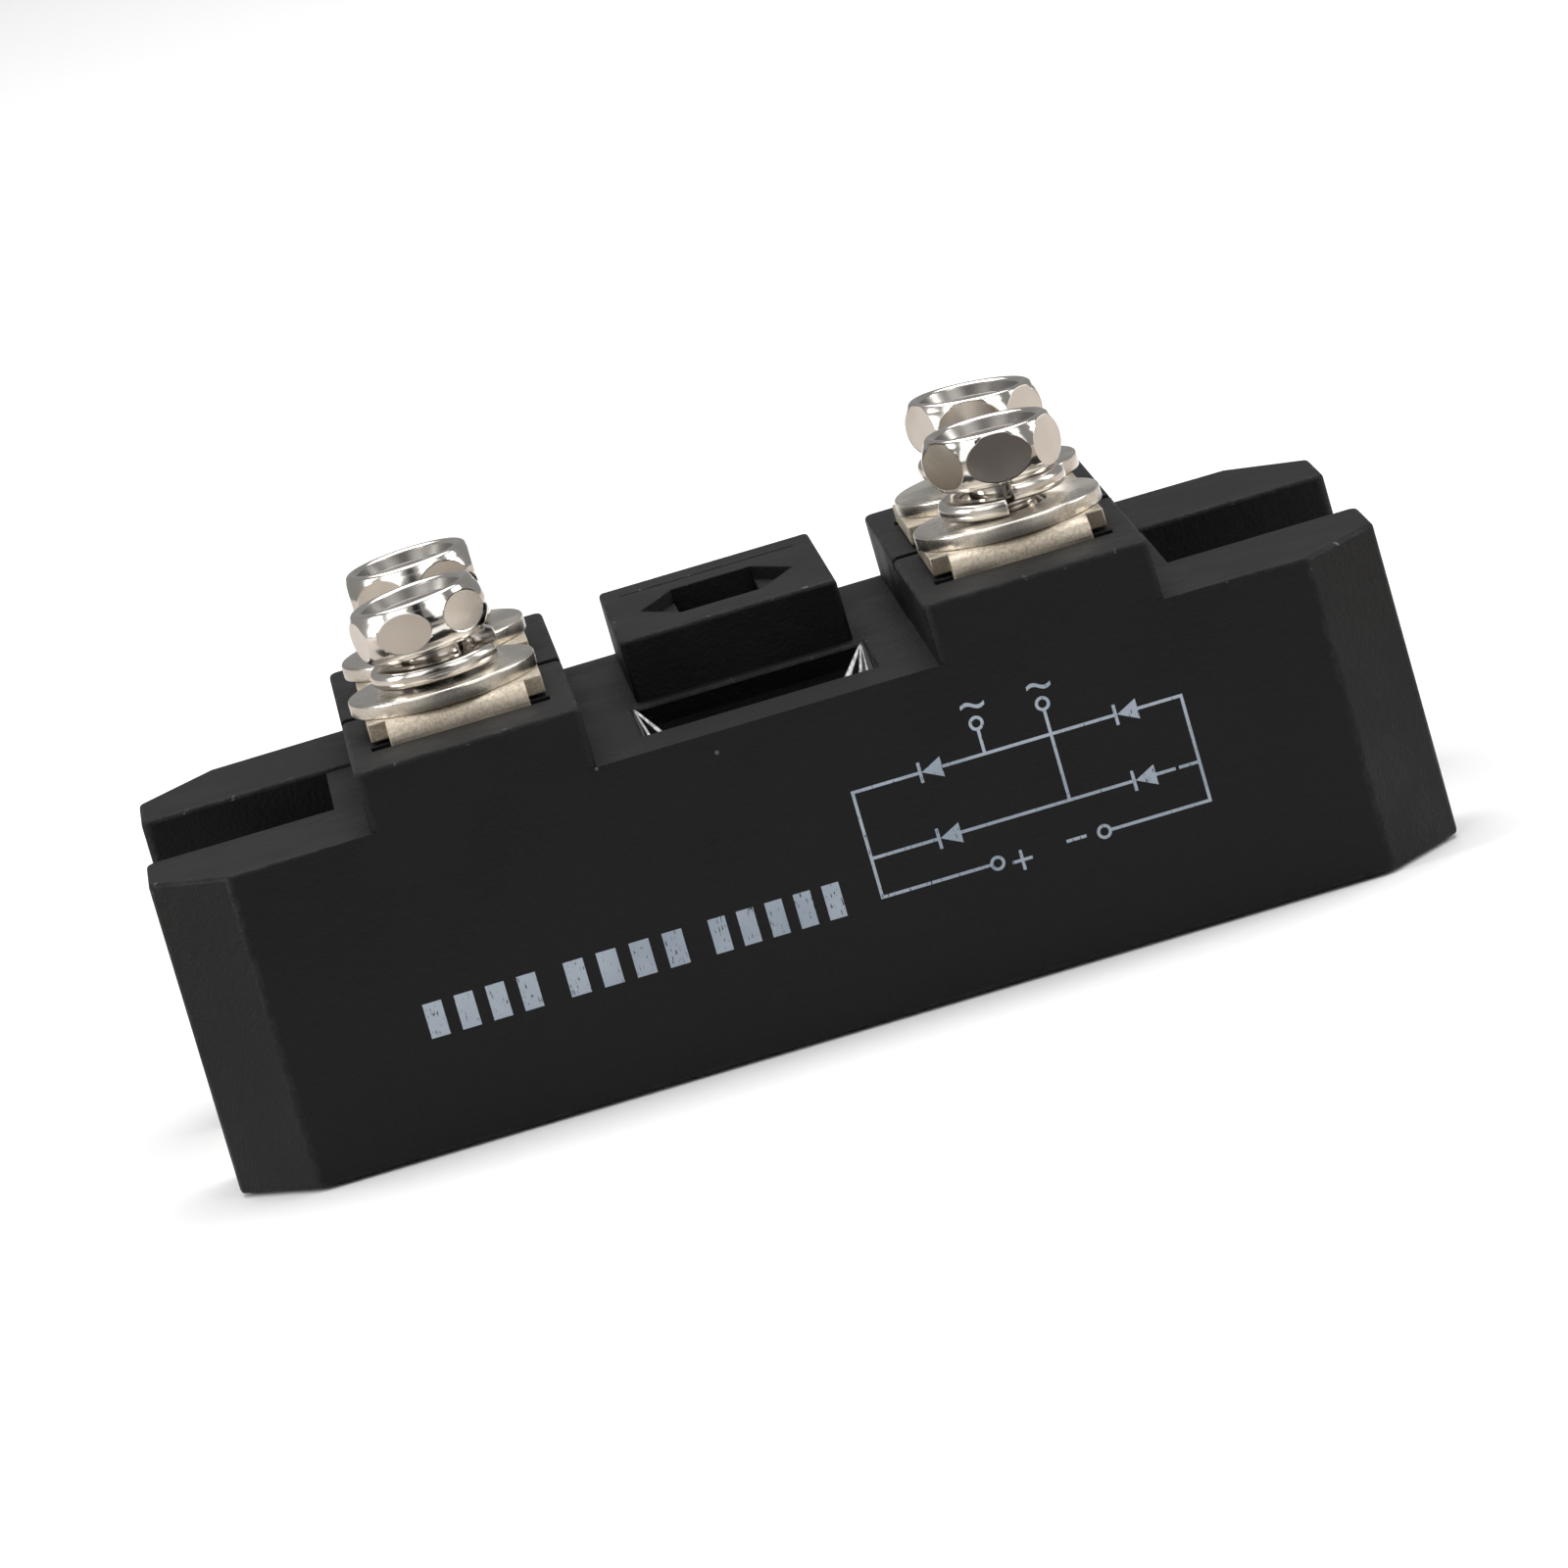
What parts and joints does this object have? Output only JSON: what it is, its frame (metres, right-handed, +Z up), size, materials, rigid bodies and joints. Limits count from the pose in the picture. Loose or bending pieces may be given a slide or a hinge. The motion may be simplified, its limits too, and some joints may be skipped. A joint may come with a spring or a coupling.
{
  "type": "bridge rectifier module",
  "caption": "Flat-based power rectifier module in a black moulded case, with screw terminals on two towers and an open channel for a mounting screw at each end.",
  "frame": {"origin": "middle of the base plate's underside", "axes": "+X along the case's length, -Y towards the printed side, +Z up through the terminals"},
  "size_m": [0.08, 0.04, 0.0331],
  "materials": {
    "case_plastic": "black glass-filled plastic, fine moulded grain",
    "plate_nickel": "nickel-plated copper, satin",
    "strip_nickel": "nickel-plated copper strip, satin with sheared edges",
    "screw_nickel": "bright nickel plate",
    "copper": "bare copper, satin",
    "ceramic": "white alumina, matt",
    "silicon": "passivated silicon, metallised",
    "gel": "soft clear silicone",
    "resin": "black cast resin, mirror smooth",
    "marking": "pale grey pad print"
  },
  "bodies": {
    "root": {"housing": "case_plastic", "base_plate": "plate_nickel", "tile_backing": "copper", "ceramic_tile": "ceramic", "pad_positive": "copper", "pad_negative": "copper", "pad_ac_1": "copper", "pad_ac_2": "copper", "diode_chip_1": "silicon", "diode_chip_2": "silicon", "diode_chip_3": "silicon", "diode_chip_4": "silicon", "bridge_ac_1": "copper", "bridge_ac_2": "copper", "silicone_gel": "gel", "potting_resin": "resin", "terminal_positive": "strip_nickel", "terminal_negative": "strip_nickel", "terminal_ac_1": "strip_nickel", "terminal_ac_2": "strip_nickel", "terminal_nut_1": "screw_nickel", "terminal_nut_2": "screw_nickel", "terminal_nut_3": "screw_nickel", "terminal_nut_4": "screw_nickel", "flat_washer_1": "screw_nickel", "flat_washer_2": "screw_nickel", "flat_washer_3": "screw_nickel", "flat_washer_4": "screw_nickel", "spring_washer_1": "screw_nickel", "spring_washer_2": "screw_nickel", "spring_washer_3": "screw_nickel", "spring_washer_4": "screw_nickel", "terminal_screw_1": "screw_nickel", "terminal_screw_2": "screw_nickel", "terminal_screw_3": "screw_nickel", "terminal_screw_4": "screw_nickel"}
  },
  "joints": []
}
